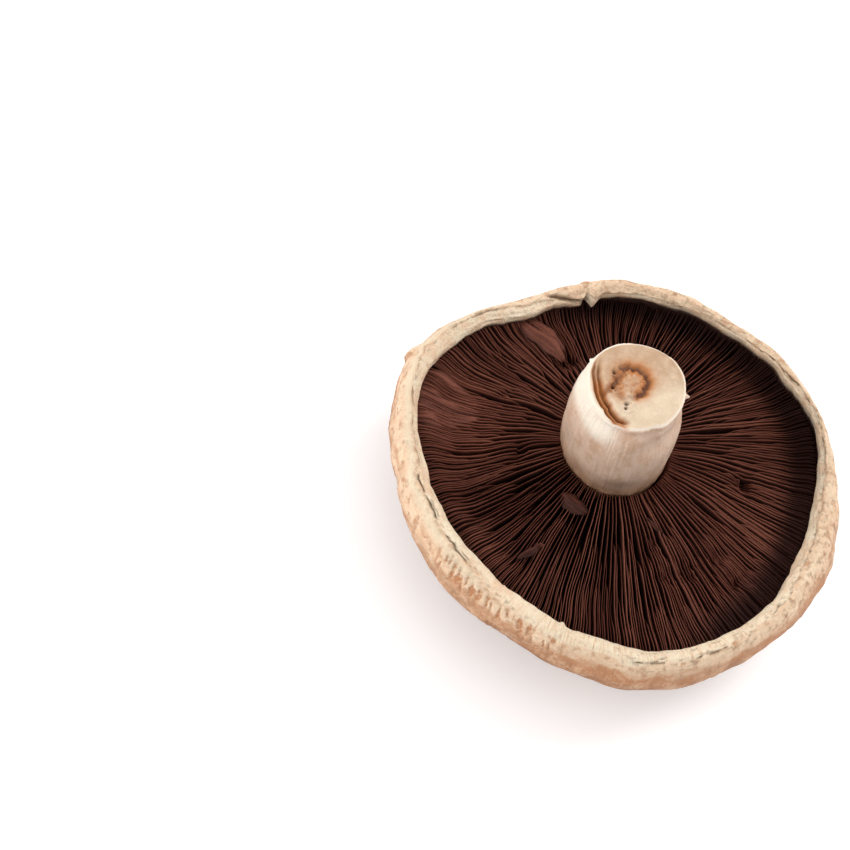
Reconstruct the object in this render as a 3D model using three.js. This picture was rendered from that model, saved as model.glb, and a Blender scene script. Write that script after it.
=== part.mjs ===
// Portobello mushroom, lying on the crown of its cap with its gills and cut stem upwards.
// Millimetres, +Z up. The origin is the centre of the small flat spot that it rests on.
// Azimuths run counterclockwise from +X, seen from above.
import * as THREE from 'three';

// Cap: the domed skin and flesh, rolled in at its rim
const SIDE_RADIUS = 58.9;        // mean radius where the cap is widest
const MOUTH_RADIUS = 52.3;       // mean radius of the gill opening, inside the rim
const CAP_HEIGHT = 34;           // from the crown to the top of the rim
const REST_RADIUS = 14;          // flat spot on the crown
const FLESH_HEIGHT = 15;         // top of the flesh under the gills, next to the stem
const FLESH_RISE = 2.3;          // how much higher the flesh is near the rim
const FLESH_FLAT = 0.33;         // share of the mouth's radius up to which the flesh is level
const FLESH_EDGE = 0.9;          // share of the mouth's radius where it has risen by FLESH_RISE

// An outline that grew uneven: [lobes round the cap, their height, azimuth of one peak in degrees]
const SIDE_LOBES = [[1, 1.2, 200], [2, 0.8, 174], [3, 1.1, 56], [4, 0.5, 86], [5, 0.5, 20], [6, 0.7, 45]];
const MOUTH_LOBES = [[1, 2.1, 95], [2, 0.4, 3], [3, 2.0, 56], [5, 0.6, 25], [6, 0.4, 42]];
const RIM_LOBES = [[2, 0.7, 60], [3, 0.5, 100], [7, 0.3, 10]];

// Gills: the dark ring of thin plates that hang from the flesh, standing up here
const GILL_START = 15.9;         // radius round the stem where the full gills begin
const GILL_NEAR_STEM = 24.5;     // height of their free edges at the stem
const GILL_CROWN = 27;           // height at their highest, a quarter of the way out
const GILL_MIDDLE = 26;          // height past the middle
const GILL_DROP = 6.4;           // mean depth of their outer ends under the top of the rim
const GILL_DROP_LOBES = [[1, 2.3, 45]];
const GILL_RELIEF = 2.8;         // depth of the valleys between them
const GILL_QUADS = 40;           // groups of one full gill, one half gill and two short gills
const HALF_START = 0.22;         // share of the way out where the half gills begin
const SHORT_START = 0.5;         // and the short gills
const GILL_SWAY = 1.6;           // how far the gills bend sideways, in degrees
const GILL_SWAY_LOBES = 5;

// Stem: stout, cut across, a little wider at its waist
const STEM_CENTRE = [-2.6, 7.4]; // middle of its foot
const STEM_LEAN = [-0.055, -0.018]; // sideways travel of its middle per millimetre of height
const STEM_FOOT = 13.7;          // radius where it grows out of the flesh
const STEM_WAIST = 15.1;         // largest radius
const STEM_WAIST_HEIGHT = 37;
const STEM_TOP = 13;             // radius of the cut face
const STEM_HEIGHT = 56.3;        // middle of the cut face, above the crown
const STEM_LOBES = [[2, 0.25, 150], [3, 0.2, 40]];
const CUT_TILT = [0.1, 0.13];    // rise of the cut face per millimetre towards +X and +Y
const CUT_EDGE = 0.5;            // rounding of the cut face's edge
const SHOULDER_DEPTH = 7;        // the rind curves in over this depth where it has come away
const SHOULDER_INSET = 0.9;
const SPLIT_RADIUS = 10.4;       // the curved split between the stem's rind and its core
const SPLIT_WIDTH = 1.2;
const SPLIT_DEPTH = 1.8;
const SPLIT_AZIMUTH = 215;       // middle of the split, in degrees
const SPLIT_SPREAD = 65;         // and its reach to each side
const CORE_RADIUS = 5;           // the shallow ring round the fibrous core
const CORE_WIDTH = 1.6;
const CORE_DEPTH = 0.6;

const GAP = 0.35;                // clearance between neighbouring pieces
const CAP_SIDES = 80;            // azimuths of the cap and of the underside of the gills
const STEM_SIDES = 48;

const radians = degrees => degrees * Math.PI / 180;
const mix = (a, b, t) => a + (b - a) * t;

function smooth(low, high, x) {
  const t = Math.min(1, Math.max(0, (x - low) / (high - low)));
  return t * t * (3 - 2 * t);
}

// mean plus the sum of height * cos(lobes * (azimuth - peak))
function lobed(mean, lobes, azimuth) {
  return lobes.reduce((sum, [count, height, peak]) =>
    sum + height * Math.cos(count * (azimuth - radians(peak))), mean);
}

const sideRadius = azimuth => lobed(SIDE_RADIUS, SIDE_LOBES, azimuth);
const mouthRadius = azimuth => lobed(MOUTH_RADIUS, MOUTH_LOBES, azimuth);
const rimHeight = azimuth => lobed(CAP_HEIGHT, RIM_LOBES, azimuth);

// Height of the flesh under the gills, level near the stem and rising as a cube towards the rim
function fleshHeight(x, y) {
  const share = Math.hypot(x, y) / mouthRadius(Math.atan2(y, x));
  return FLESH_HEIGHT + FLESH_RISE * Math.max(0, (share - FLESH_FLAT) / (FLESH_EDGE - FLESH_FLAT)) ** 3;
}

// Catmull-Rom curve through [radius, height] points, with two samples for each span
function throughPoints(points) {
  const at = i => points[Math.min(points.length - 1, Math.max(0, i))];
  const curve = [points[0]];
  for (let i = 0; i < points.length - 1; i++) {
    const half = [0, 1].map(axis =>
      (9 * (at(i)[axis] + at(i + 1)[axis]) - at(i - 1)[axis] - at(i + 2)[axis]) / 16);
    curve.push(half, points[i + 1]);
  }
  return curve;
}

// The cap's section at one azimuth: crown, side, rolled rim, inner lip and the flesh under the gills
function capSection(azimuth) {
  const side = sideRadius(azimuth);
  const mouth = mouthRadius(azimuth);
  const rim = rimHeight(azimuth);
  const band = side - mouth;
  const lip = rim - 0.55 * band;
  const outside = throughPoints([
    [REST_RADIUS, 0],
    [0.46 * side, 0.065 * rim],
    [0.70 * side, 0.21 * rim],
    [0.875 * side, 0.41 * rim],
    [0.975 * side, 0.615 * rim],
    [side, 0.775 * rim],
    [side - 0.18 * band, 0.925 * rim],
    [side - 0.52 * band, rim],
    [mouth + 0.10 * band, rim - 0.22 * band],
    [mouth, lip],
    [mouth + 0.8, lip - 2.2],
    [mouth + 1.3, lip - 5.5],
  ]);
  const flesh = [0.98, 0.9, 0.8, 0.65, 0.45].map(share => {
    const radius = share * mouth;
    return [radius, fleshHeight(radius * Math.cos(azimuth), radius * Math.sin(azimuth))];
  });
  return [...outside, ...flesh];
}

// One closed body from its vertices and triangles
function solid(name, points, triangles, material) {
  const geometry = new THREE.BufferGeometry();
  geometry.setAttribute('position', new THREE.Float32BufferAttribute(points.flat(), 3));
  geometry.setIndex(triangles.flat());
  geometry.computeVertexNormals();
  const mesh = new THREE.Mesh(geometry, material);
  mesh.name = name;
  return mesh;
}

// Two triangles for each square between ring a and ring b, both of n points, a below or outside b
function band(a, b, n) {
  return Array.from({ length: n }, (_, i) => {
    const next = (i + 1) % n;
    return [[a + i, a + next, b + next], [a + i, b + next, b + i]];
  }).flat();
}

// Closed skin through rings of n points from the pole low to the pole high
function skin(name, rings, low, high, material) {
  const n = rings[0].length;
  const points = [...rings.flat(), low, high];
  const lowIndex = points.length - 2;
  const last = (rings.length - 1) * n;
  const triangles = rings.slice(1).flatMap((_, k) => band(k * n, (k + 1) * n, n));
  for (let i = 0; i < n; i++) {
    const next = (i + 1) % n;
    triangles.push([lowIndex, next, i], [lowIndex + 1, last + i, last + next]);
  }
  return solid(name, points, triangles, material);
}

function buildCap() {
  const azimuths = Array.from({ length: CAP_SIDES }, (_, i) => 2 * Math.PI * i / CAP_SIDES);
  const sections = azimuths.map(capSection);
  const rings = sections[0].map((_, k) => azimuths.map((azimuth, i) => {
    const [radius, height] = sections[i][k];
    return [radius * Math.cos(azimuth), radius * Math.sin(azimuth), height];
  }));
  const material = new THREE.MeshStandardMaterial({ color: 0xb98560, roughness: 0.75, metalness: 0 });
  return skin('cap', rings, [0, 0, 0], [0, 0, FLESH_HEIGHT], material);
}

// Height of the gills' free edges: up from the stem, level, then up or down to their outer ends
function crestHeight(azimuth, share) {
  const outer = rimHeight(azimuth) - lobed(GILL_DROP, GILL_DROP_LOBES, azimuth);
  const inner = mix(GILL_NEAR_STEM, GILL_CROWN, smooth(0, 0.25, share));
  return mix(mix(inner, GILL_MIDDLE, smooth(0.25, 0.6, share)), outer, smooth(0.7, 1, share));
}

// A point of the gill ring, out from the stem's foot to the mouth, with a slow sideways sway
function gillPlace(azimuth, share) {
  const sway = radians(GILL_SWAY) * Math.sin(Math.PI * share) * Math.sin(GILL_SWAY_LOBES * azimuth);
  const turned = azimuth + sway;
  const reach = mouthRadius(turned) - GAP;
  return [
    mix(STEM_CENTRE[0] + GILL_START * Math.cos(turned), reach * Math.cos(turned), share),
    mix(STEM_CENTRE[1] + GILL_START * Math.sin(turned), reach * Math.sin(turned), share),
  ];
}

// How much of a column's crest has risen: columns alternate crest and valley,
// and the crests go full, short, half, short
function crestRise(column, share) {
  if (column % 2 === 1) return 0;
  const tier = (column / 2) % 4;
  if (tier === 0) return 1;
  const start = tier === 2 ? HALF_START : SHORT_START;
  return smooth(start, start + 0.16, share);
}

function buildGills() {
  const columns = 8 * GILL_QUADS;
  const shares = [0, 0.1, 0.25, 0.4, 0.55, 0.7, 0.85, 1];
  const topRings = shares.map(share => Array.from({ length: columns }, (_, i) => {
    const azimuth = 2 * Math.PI * i / columns;
    const relief = GILL_RELIEF * smooth(-0.15, 0.25, share) * (1 - crestRise(i, share));
    return [...gillPlace(azimuth, share), crestHeight(azimuth, share) - relief];
  }));
  const floorShares = [0.93, 0.75, 0.4, 0];
  const floorRings = floorShares.map(share => Array.from({ length: CAP_SIDES }, (_, i) => {
    const [x, y] = gillPlace(2 * Math.PI * i / CAP_SIDES, share);
    return [x, y, fleshHeight(x, y) + GAP];
  }));
  const points = [...topRings.flat(), ...floorRings.flat()];
  const triangles = shares.slice(1).flatMap((_, k) => band((k + 1) * columns, k * columns, columns));
  const floor = shares.length * columns;
  floorShares.slice(1).forEach((_, k) =>
    triangles.push(...band(floor + (k + 1) * CAP_SIDES, floor + k * CAP_SIDES, CAP_SIDES)));
  const outerTop = (shares.length - 1) * columns;
  const innerFloor = floor + (floorShares.length - 1) * CAP_SIDES;
  triangles.push(...wall(outerTop, floor, columns, false), ...wall(0, innerFloor, columns, true));
  const material = new THREE.MeshStandardMaterial({ color: 0x4b2a23, roughness: 0.85, metalness: 0 });
  return solid('gills', points, triangles, material);
}

// Wall between a fine ring of columns at the top and a coarse ring of CAP_SIDES points at the floor
function wall(top, floor, columns, inward) {
  const each = columns / CAP_SIDES;
  const triangles = [];
  for (let i = 0; i < CAP_SIDES; i++) {
    const here = floor + i;
    const next = floor + (i + 1) % CAP_SIDES;
    for (let j = 0; j < each; j++) {
      const a = top + i * each + j;
      const b = top + (i * each + j + 1) % columns;
      triangles.push([j < each / 2 ? here : next, b, a]);
    }
    triangles.push([here, next, top + i * each + Math.ceil(each / 2)]);
  }
  return inward ? triangles.map(([a, b, c]) => [a, c, b]) : triangles;
}

// 1 at the middle of the split's stretch of azimuth, fading to 0 at its two ends
function alongSplit(azimuth) {
  const turn = Math.abs(((azimuth * 180 / Math.PI - SPLIT_AZIMUTH + 540) % 360) - 180);
  return 1 - smooth(0.5, 1, turn / SPLIT_SPREAD);
}

// Radius of the stem's side: squared from the waist to the foot, cubed from the waist to the cut,
// less the curve of the loose rind next to the split
function stemRadius(height, azimuth, foot, edge) {
  const low = (STEM_WAIST_HEIGHT - height) / (STEM_WAIST_HEIGHT - foot);
  const high = (height - STEM_WAIST_HEIGHT) / (edge - STEM_WAIST_HEIGHT);
  const plain = low > 0 ? mix(STEM_WAIST, STEM_FOOT, low ** 2) : mix(STEM_WAIST, STEM_TOP, high ** 3);
  const curl = Math.max(0, 1 - (edge - height) / SHOULDER_DEPTH) ** 2;
  return lobed(plain, STEM_LOBES, azimuth) - SHOULDER_INSET * curl * alongSplit(azimuth);
}

// Depth of the split and of the ring round the core under the cut face
function cutDepth(radius, azimuth) {
  const hollow = (middle, width) => Math.max(0, 1 - Math.abs(radius - middle) / width);
  return SPLIT_DEPTH * hollow(SPLIT_RADIUS, SPLIT_WIDTH) * alongSplit(azimuth)
    + CORE_DEPTH * hollow(CORE_RADIUS, CORE_WIDTH);
}

function buildStem() {
  const foot = FLESH_HEIGHT + GAP;
  const edge = STEM_HEIGHT - CUT_EDGE;
  const middleAt = height => STEM_CENTRE.map((place, axis) => place + STEM_LEAN[axis] * (height - foot));
  const azimuths = Array.from({ length: STEM_SIDES }, (_, i) => 2 * Math.PI * i / STEM_SIDES);
  const ring = (height, radiusAt, depthAt) => azimuths.map(azimuth => {
    const radius = radiusAt(azimuth);
    const x = radius * Math.cos(azimuth);
    const y = radius * Math.sin(azimuth);
    const tilt = (CUT_TILT[0] * x + CUT_TILT[1] * y) * smooth(foot, edge, height);
    const middle = middleAt(height);
    return [middle[0] + x, middle[1] + y, height + tilt - depthAt(azimuth)];
  });
  const sides = [foot, 19, 24, 30, STEM_WAIST_HEIGHT, 43, 48, 51.5, 54, edge].map(height =>
    ring(height, azimuth => stemRadius(height, azimuth, foot, edge), () => 0));
  const inner = [SPLIT_RADIUS + SPLIT_WIDTH, SPLIT_RADIUS, SPLIT_RADIUS - SPLIT_WIDTH,
    CORE_RADIUS + CORE_WIDTH, CORE_RADIUS, CORE_RADIUS - CORE_WIDTH];
  const reach = azimuth => stemRadius(edge, azimuth, foot, edge);
  const rim = ring(STEM_HEIGHT, azimuth => reach(azimuth) - CUT_EDGE, () => 0);
  const face = inner.map(radius => ring(STEM_HEIGHT,
    azimuth => Math.min(radius, reach(azimuth) - 2 * CUT_EDGE), azimuth => cutDepth(radius, azimuth)));
  const material = new THREE.MeshStandardMaterial({ color: 0xe6d3bb, roughness: 0.6, metalness: 0 });
  const top = [...middleAt(STEM_HEIGHT), STEM_HEIGHT];
  return skin('stem', [...sides, rim, ...face], [...STEM_CENTRE, foot], top, material);
}

const mushroom = new THREE.Group();
mushroom.add(buildCap(), buildGills(), buildStem());

export default mushroom;
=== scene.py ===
"""A portobello mushroom lying on its cap, with its gills and cut stem upwards.

Every piece is a surface worked out with numpy, in millimetres, in the frame of the solid model:
+Z up, the origin at the middle of the flat spot on the crown. Azimuths run from +X counterclockwise.
"""

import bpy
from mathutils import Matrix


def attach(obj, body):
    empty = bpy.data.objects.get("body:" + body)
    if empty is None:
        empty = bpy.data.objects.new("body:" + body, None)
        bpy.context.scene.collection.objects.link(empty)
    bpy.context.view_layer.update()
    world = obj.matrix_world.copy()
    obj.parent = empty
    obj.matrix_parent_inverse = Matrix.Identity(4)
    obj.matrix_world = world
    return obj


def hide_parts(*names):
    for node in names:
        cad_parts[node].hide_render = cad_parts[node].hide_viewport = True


bl_info = {
    "name": "Portobello mushroom",
    "version": (1, 0, 0),
    "blender": (4, 5, 0),
    "location": "3D view > Sidebar > Mushroom",
    "description": "Builds the cap, gills and stem of a portobello mushroom and lights them",
    "category": "Add Mesh",
}

import math

import bpy
import numpy as np
from bpy.props import FloatProperty, FloatVectorProperty, IntProperty, PointerProperty
from mathutils import Matrix, Vector

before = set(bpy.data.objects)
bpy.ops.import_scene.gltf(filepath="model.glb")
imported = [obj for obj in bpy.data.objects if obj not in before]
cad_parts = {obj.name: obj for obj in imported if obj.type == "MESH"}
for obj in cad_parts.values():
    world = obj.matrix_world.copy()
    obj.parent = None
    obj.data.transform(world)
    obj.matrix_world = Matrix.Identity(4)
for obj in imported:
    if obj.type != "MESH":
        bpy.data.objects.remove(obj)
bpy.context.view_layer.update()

MM = 0.001
BODY = "root"

# Shape of the cap, in millimetres. A lobe is a count round the cap, a height and the azimuth of a peak.
REST_RADIUS = 14.0
FLESH_HEIGHT = 15.0
FLESH_RISE = 2.3
FLESH_FLAT = 0.33
FLESH_EDGE = 0.9
SIDE_LOBES = [(1, 1.2, 200), (2, 0.8, 174), (3, 1.1, 56), (4, 0.5, 86), (5, 0.5, 20), (6, 0.7, 45)]
MOUTH_LOBES = [(1, 2.1, 95), (2, 0.4, 3), (3, 2.0, 56), (5, 0.6, 25), (6, 0.4, 42)]
RIM_LOBES = [(2, 0.7, 60), (3, 0.5, 100), (7, 0.3, 10)]

# Trim of the side: a little off all round, and some added on the right
SIDE_TRIM_MEAN = -0.6
SIDE_TRIM = [(1, 0.8, 0), (2, 0.5, 0)]

# Radius at which the places that the fibres read are true to size, on the cap and on the stem
PLACE_RADIUS = 57.0
STEM_PLACE = 14.0

# Shape of the gills
GILL_START = 13.6
GILL_NEAR_STEM = 26.4
GILL_CROWN = 27.0
GILL_MIDDLE = 26.0
GILL_DROP = 6.4
GILL_DROP_LOBES = [(1, 2.3, 45)]
HALF_START = (0.03, 0.26)
SHORT_START = (0.20, 0.60)
GILL_SWAY_LOBES = 5

# How far the gills' outer ends reach into the rim
GILL_OVERLAP = 0.9

# Shape of the stem
STEM_CENTRE = (-2.6, 7.4)
STEM_LEAN = (-0.055, -0.018)
STEM_FOOT_HEIGHT = 15.0
STEM_FOOT = 12.2
STEM_WAIST_HEIGHT = 37.0
STEM_LOBES = [(2, 0.25, 150), (3, 0.2, 40)]
CUT_TILT = (0.1, 0.13)
SPLIT_AZIMUTH = 215.0
SPLIT_SPREAD = 65.0


# Plain arithmetic on arrays

def smooth(low, high, x):
    """0 below low and 1 above high, with the smooth step 3t^2 - 2t^3 between them."""
    t = np.clip((x - low) / (high - low), 0.0, 1.0)
    return t * t * (3.0 - 2.0 * t)


def mix(a, b, t):
    """a where t is 0, b where t is 1, and in proportion between."""
    return a + (b - a) * t


def bell(x, middle, width):
    """1 at the middle, falling off as exp(-d^2), with d counted in widths."""
    return np.exp(-((x - middle) / width) ** 2)


def turn(azimuth, middle):
    """Degrees from the azimuth called middle to azimuth, between -180 and 180."""
    return (np.degrees(azimuth) - middle + 180.0) % 360.0 - 180.0


def stretch(azimuth, start, end, fade):
    """1 from azimuth start to azimuth end, in degrees, and 0 beyond fade degrees outside them."""
    half = 0.5 * (end - start)
    return 1.0 - smooth(half, half + fade, np.abs(turn(azimuth, start + half)))


def lobed(mean, lobes, azimuth):
    """The mean plus the sum of height * cos(count * (azimuth - peak))."""
    total = mean + 0.0 * azimuth
    for count, height, peak in lobes:
        total = total + height * np.cos(count * (azimuth - math.radians(peak)))
    return total


NOISE_ROWS = 256


def value_noise(x, y, seed, period=256):
    """Random values between -1 and 1 at whole x and y, blended by the smooth step; x wraps at period."""
    table = np.random.default_rng(seed).uniform(-1.0, 1.0, (NOISE_ROWS, period))
    column = np.floor(x).astype(int)
    row = np.floor(y).astype(int)
    s, t = (part * part * (3.0 - 2.0 * part) for part in (x - column, y - row))
    left, right = column % period, (column + 1) % period
    near, far = (mix(table[line % NOISE_ROWS, left], table[line % NOISE_ROWS, right], s)
                 for line in (row, row + 1))
    return mix(near, far, t)


def round_noise(azimuth, along, cells, rows, seed, octaves=1):
    """Value noise with cells round the full turn and rows per unit along, halved for each octave."""
    total = 0.0
    for octave in range(octaves):
        power = 2 ** octave
        x = azimuth / (2.0 * np.pi) * cells * power
        total = total + value_noise(x, along * rows * power, seed + octave, cells * power) / power
    return total


def wave(azimuth, cells, seed, octaves=1):
    """Round noise that is the same all along."""
    return round_noise(azimuth, 0.0, cells, 1, seed, octaves)


def through(points, positions):
    """Catmull-Rom curve through the control points [..., k, 2] at positions counted in spans."""
    last = points.shape[-2] - 1
    span = np.minimum(np.floor(positions).astype(int), last - 1)
    t = (positions - span)[:, None]
    before = points[..., np.clip(span - 1, 0, last), :]
    here = points[..., span, :]
    after = points[..., span + 1, :]
    beyond = points[..., np.clip(span + 2, 0, last), :]
    return 0.5 * (2 * here + (after - before) * t + (2 * before - 5 * here + 4 * after - beyond) * t ** 2
                  + (3 * here - before - 3 * after + beyond) * t ** 3)


# Meshes from arrays

def grid_faces(rings, columns):
    """Quads between neighbouring rings of points, wrapping from the last column to the first."""
    ring, column = np.meshgrid(np.arange(rings - 1), np.arange(columns), indexing="ij")
    beside = (column + 1) % columns
    first = ring * columns
    second = first + columns
    quads = np.stack([first + column, first + beside, second + beside, second + column], axis=-1)
    return quads.reshape(-1, 4)


def make_mesh(name, points, quads, triangles=None, attributes=None):
    """An object from points in millimetres, quads and triangles, smooth shaded, with point attributes."""
    triangles = np.empty((0, 3), int) if triangles is None else np.asarray(triangles)
    mesh = bpy.data.meshes.new(name)
    points = np.asarray(points, dtype=np.float32).reshape(-1, 3) * MM
    mesh.vertices.add(len(points))
    mesh.vertices.foreach_set("co", points.ravel())
    corners = np.concatenate([np.asarray(quads).ravel(), triangles.ravel()]).astype(np.int32)
    sizes = np.concatenate([np.full(len(quads), 4), np.full(len(triangles), 3)]).astype(np.int32)
    mesh.loops.add(len(corners))
    mesh.loops.foreach_set("vertex_index", corners)
    mesh.polygons.add(len(sizes))
    mesh.polygons.foreach_set("loop_start", np.concatenate([[0], np.cumsum(sizes)[:-1]]).astype(np.int32))
    mesh.polygons.foreach_set("use_smooth", np.ones(len(sizes), bool))
    mesh.update(calc_edges=True)
    for label, values in (attributes or {}).items():
        values = np.asarray(values, dtype=np.float32)
        vector = values.ndim > 1 and values.shape[-1] == 3 and values.size == points.size
        layer = mesh.attributes.new(label, "FLOAT_VECTOR" if vector else "FLOAT", "POINT")
        layer.data.foreach_set("vector" if vector else "value", values.ravel())
    if mesh.validate():
        raise RuntimeError(name + " has faces that can't be kept")
    piece = bpy.data.objects.new(name, mesh)
    bpy.context.scene.collection.objects.link(piece)
    return piece


def add_piece(piece, node, material):
    """The piece stands for the node, rides on the body, and takes its finish from the slot."""
    piece.data.materials.append(material)
    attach(piece, BODY)
    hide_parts(node)
    return piece


def round_points(radius, way, height):
    """Points at a radius, an azimuth and a height."""
    return np.stack([radius * np.cos(way), radius * np.sin(way), height + 0.0 * way], axis=-1)


def grid_normals(points):
    """Unit normals of a grid [rings, columns, 3] that wraps round its columns, from its two tangents."""
    round_way = np.roll(points, -1, axis=1) - np.roll(points, 1, axis=1)
    along_way = np.gradient(points, axis=0)
    normals = np.cross(round_way, along_way)
    return normals / np.maximum(np.linalg.norm(normals, axis=-1, keepdims=True), 1e-9)


# The cap's outlines

def settings():
    """The sizes and colours shown in the panel."""
    return bpy.context.scene.mushroom


def side_radius(azimuth):
    """Radius of the cap where it is widest, in millimetres."""
    return lobed(settings().side_radius / MM, SIDE_LOBES, azimuth)


def mouth_radius(azimuth):
    """Radius of the gill opening inside the rim, in millimetres."""
    return lobed(settings().mouth_radius / MM, MOUTH_LOBES, azimuth)


def rim_height(azimuth):
    """Height of the rim's top over the crown, in millimetres."""
    return lobed(settings().cap_height / MM, RIM_LOBES, azimuth)


def flesh_height(share):
    """Height of the flesh under the gills: level near the stem, rising as a cube towards the rim."""
    past = np.maximum(0.0, (share - FLESH_FLAT) / (FLESH_EDGE - FLESH_FLAT))
    return FLESH_HEIGHT + FLESH_RISE * past ** 3


# Places round the rim, as azimuths in degrees, and the fissures' slant in radians
FOLD_START = 127.0
FOLD_END = 114.5
TOOTH = 264.4
TORN = 167.0
FISSURES = (230.0, 264.0)
FISSURE_SLANT = 0.42
STRIAE = (262.0, 322.0)
BROWN_BAND = (268.0, 352.0)
RAISED_BAND = (245.0, 264.6)

# Moves of the mouth: first and last azimuth and the fade, in degrees, and how far out in millimetres
MOUTH_MOVES = [(138.0, 156.0, 14.0, -0.9), (248.0, 266.0, 12.0, 1.1), (62.0, 100.0, 34.0, -1.6)]

# Where the gills lie deep under the lip, and where the painted shade on the cap's inner wall starts further
# in: first and last azimuth, and the fade, in degrees
DEEP_LIP = (-30.0, 98.0, 26.0)

# Where the skin ends on the rim, as an azimuth in degrees and a span of the section
SKIN_EDGE = [(0, 7.7), (20, 7.6), (45, 7.6), (60, 8.1), (85, 8.5), (105, 8.4), (127, 7.6), (145, 7.0),
             (165, 7.1), (183, 7.4), (197, 7.5), (209, 6.8), (224, 6.7), (237, 7.0), (247, 6.5), (263, 6.4),
             (280, 6.5), (295, 6.6), (310, 6.8), (330, 7.2), (345, 7.7)]

# Stretches of the skin's edge that have torn open: first and last azimuth, then how deep
TEARS = [(180, 189, 0.7), (195, 200, 0.8), (205, 233, 1.0), (286, 295, 0.7), (297, 310, 0.6),
         (46, 90, 0.8), (18, 36, 0.5), (344, 357, 0.4), (140, 156, 0.5)]


def cap_section(azimuth):
    """Control points [columns, 12, 2] of the cap's section: crown, side, rolled rim and inner lip.

    Small waves run along each outline. The rim bulges inwards past the fold, ends there in a hanging
    corner, and has one tooth on its inner edge and one torn corner on its outer edge.
    """
    torn = turn(azimuth, TORN)
    torn = smooth(-4.0, 0.0, torn) * (1.0 - smooth(0.0, 1.2, torn))
    side = side_radius(azimuth) + 0.35 * wave(azimuth, 34, 11, 3) + 1.3 * torn
    side = side + lobed(SIDE_TRIM_MEAN, SIDE_TRIM, azimuth)
    past_fold = turn(azimuth, FOLD_END)
    mouth = mouth_radius(azimuth) + 0.30 * wave(azimuth, 52, 21, 3)
    for start, end, fade, move in MOUTH_MOVES:
        mouth = mouth + move * stretch(azimuth, start, end, fade)
    mouth = mouth - 1.6 * smooth(0.0, 1.6, past_fold) * (1.0 - smooth(18.0, 34.0, past_fold))
    mouth = mouth - 2.0 * np.maximum(0.0, 1.0 - np.abs(past_fold + 2.2) / 2.4)
    mouth = mouth - 1.1 * bell(turn(azimuth, TOOTH), 0.0, 0.7) + 0.5 * bell(turn(azimuth, TOOTH), 3.0, 2.4)
    rim = rim_height(azimuth) + 0.30 * wave(azimuth, 26, 31, 3) + 0.5 * torn
    band = side - mouth
    lip = rim - 0.55 * band
    return np.stack([np.stack(pair, axis=-1) for pair in (
        (REST_RADIUS + 0.0 * side, 0.0 * rim),
        (0.46 * side, 0.065 * rim),
        (0.70 * side, 0.21 * rim),
        (0.875 * side, 0.41 * rim),
        (0.975 * side, 0.615 * rim),
        (side, 0.775 * rim),
        (side - 0.18 * band, 0.925 * rim),
        (side - 0.52 * band, rim),
        (mouth + 0.10 * band, rim - 0.22 * band),
        (mouth, lip),
        (mouth + 0.8, lip - 2.2),
        (mouth + 1.3, lip - 5.5),
    )], axis=-2)


def past_skin(azimuth, span):
    """Spans from the wandering edge of the skin to the point, growing towards the gills."""
    places = np.array(SKIN_EDGE)
    edge = np.interp(np.degrees(azimuth) % 360.0, places[:, 0], places[:, 1], period=360.0)
    return span - edge - 0.12 * wave(azimuth, 70, 81, 2)


def tears(azimuth, span):
    """1 in the bottom of the broken cracks that open along the skin's edge, a few of them doubled."""
    depth = 0.0 * azimuth
    for start, end, strength in TEARS:
        depth = np.maximum(depth, strength * stretch(azimuth, start, end, 2.0))
    ragged = wave(azimuth, 190, 85, 2) + 0.5 * wave(azimuth, 60, 86)
    middle = 0.05 + 0.10 * wave(azimuth, 240, 83)
    width = 0.062 + 0.03 * wave(azimuth, 160, 84)
    past = past_skin(azimuth, span)
    second = 0.7 * bell(past, middle + 0.34 + 0.08 * wave(azimuth, 130, 88), 0.05)
    second = second * smooth(0.0, 0.4, wave(azimuth, 90, 94, 2))
    return np.maximum(bell(past, middle, width), second) * depth * smooth(-0.55, 0.15, ragged)


def fold_slot(azimuth, span):
    """1 in the bottom of the slot under the rim's fold, which widens slantwise towards the inner lip."""
    progress = turn(azimuth, FOLD_END) / (FOLD_START - FOLD_END)
    held = np.clip(progress, 0.0, 1.0)
    middle = mix(9.1, 7.2, held ** 0.8)
    ends = smooth(-0.05, 0.05, progress) * (1.0 - smooth(0.85, 1.05, progress))
    return bell(span, middle, mix(0.38, 0.12, held)) * ends


def scales(azimuth, span):
    """Noise about 0 whose high places are the flat scales of the skin, wider and closer towards the rim."""
    shift = 0.5 * round_noise(azimuth, span, 60, 2.0, 95)
    broad = round_noise(azimuth, span + 0.12 * shift, 66, 2.3, 97, 2)
    return broad + 0.35 * round_noise(azimuth, span, 240, 5.0, 99)


def bright_ridge(azimuth, span):
    """1 on the smooth pale ridge just outside the skin's edge, down the left of the rim; its colour is
    partly pale flesh, partly painted highlight.
    """
    strength = 0.35 + 0.65 * stretch(azimuth, 150.0, 237.0, 14.0)
    wander = 0.12 * wave(azimuth, 40, 91, 2)
    return strength * bell(past_skin(azimuth, span) + wander, -0.48, 0.36)


def fissures(azimuth, span):
    """Noise between -1 and 1 in cells 0.6 mm wide and 1.7 mm long, laid slantwise across the rim."""
    around = PLACE_RADIUS * azimuth
    across = 3.0 * span
    narrow = math.cos(FISSURE_SLANT) * around + math.sin(FISSURE_SLANT) * across
    long_way = math.cos(FISSURE_SLANT) * across - math.sin(FISSURE_SLANT) * around
    wander = 0.45 * value_noise(around / 2.0, across / 2.0, 72)
    return value_noise(narrow / 0.62 + wander, long_way / 1.7, 71)


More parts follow.
